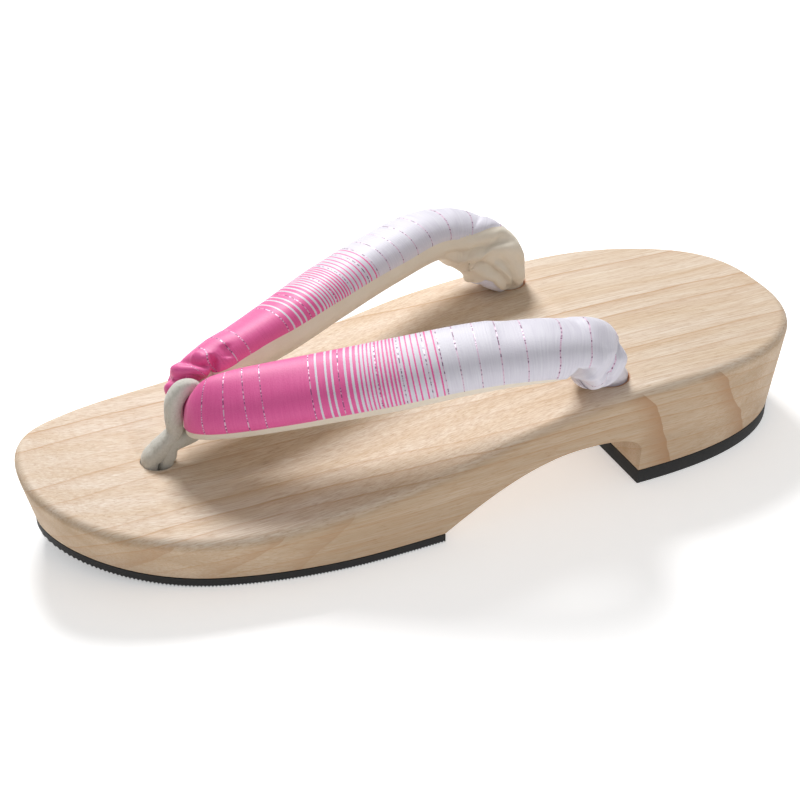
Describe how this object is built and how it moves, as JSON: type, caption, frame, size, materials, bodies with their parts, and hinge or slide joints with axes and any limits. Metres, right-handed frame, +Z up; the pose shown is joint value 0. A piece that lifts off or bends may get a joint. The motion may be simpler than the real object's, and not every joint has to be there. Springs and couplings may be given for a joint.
{
  "type": "geta sandal",
  "caption": "Wooden geta sandal with a dipped deck, a carved arch and heel block, thin rubber soles, and a padded cloth thong strap held by a felt toe loop.",
  "frame": {"origin": "on the ground, under the middle of the deck's length and width", "axes": "+X to the toe, +Z up, +Y to the near side of the picture"},
  "size_m": [0.24, 0.0974, 0.0598],
  "materials": {
    "wood": "bare, smooth, straight grained",
    "rubber": "matt black",
    "strap_cloth": "soft woven cloth, pink to white",
    "loop_felt": "matt felt"
  },
  "bodies": {
    "root": {"wooden_base": "wood", "front_sole": "rubber", "heel_sole": "rubber", "padded_strap": "strap_cloth", "toe_loop": "loop_felt"}
  },
  "joints": []
}
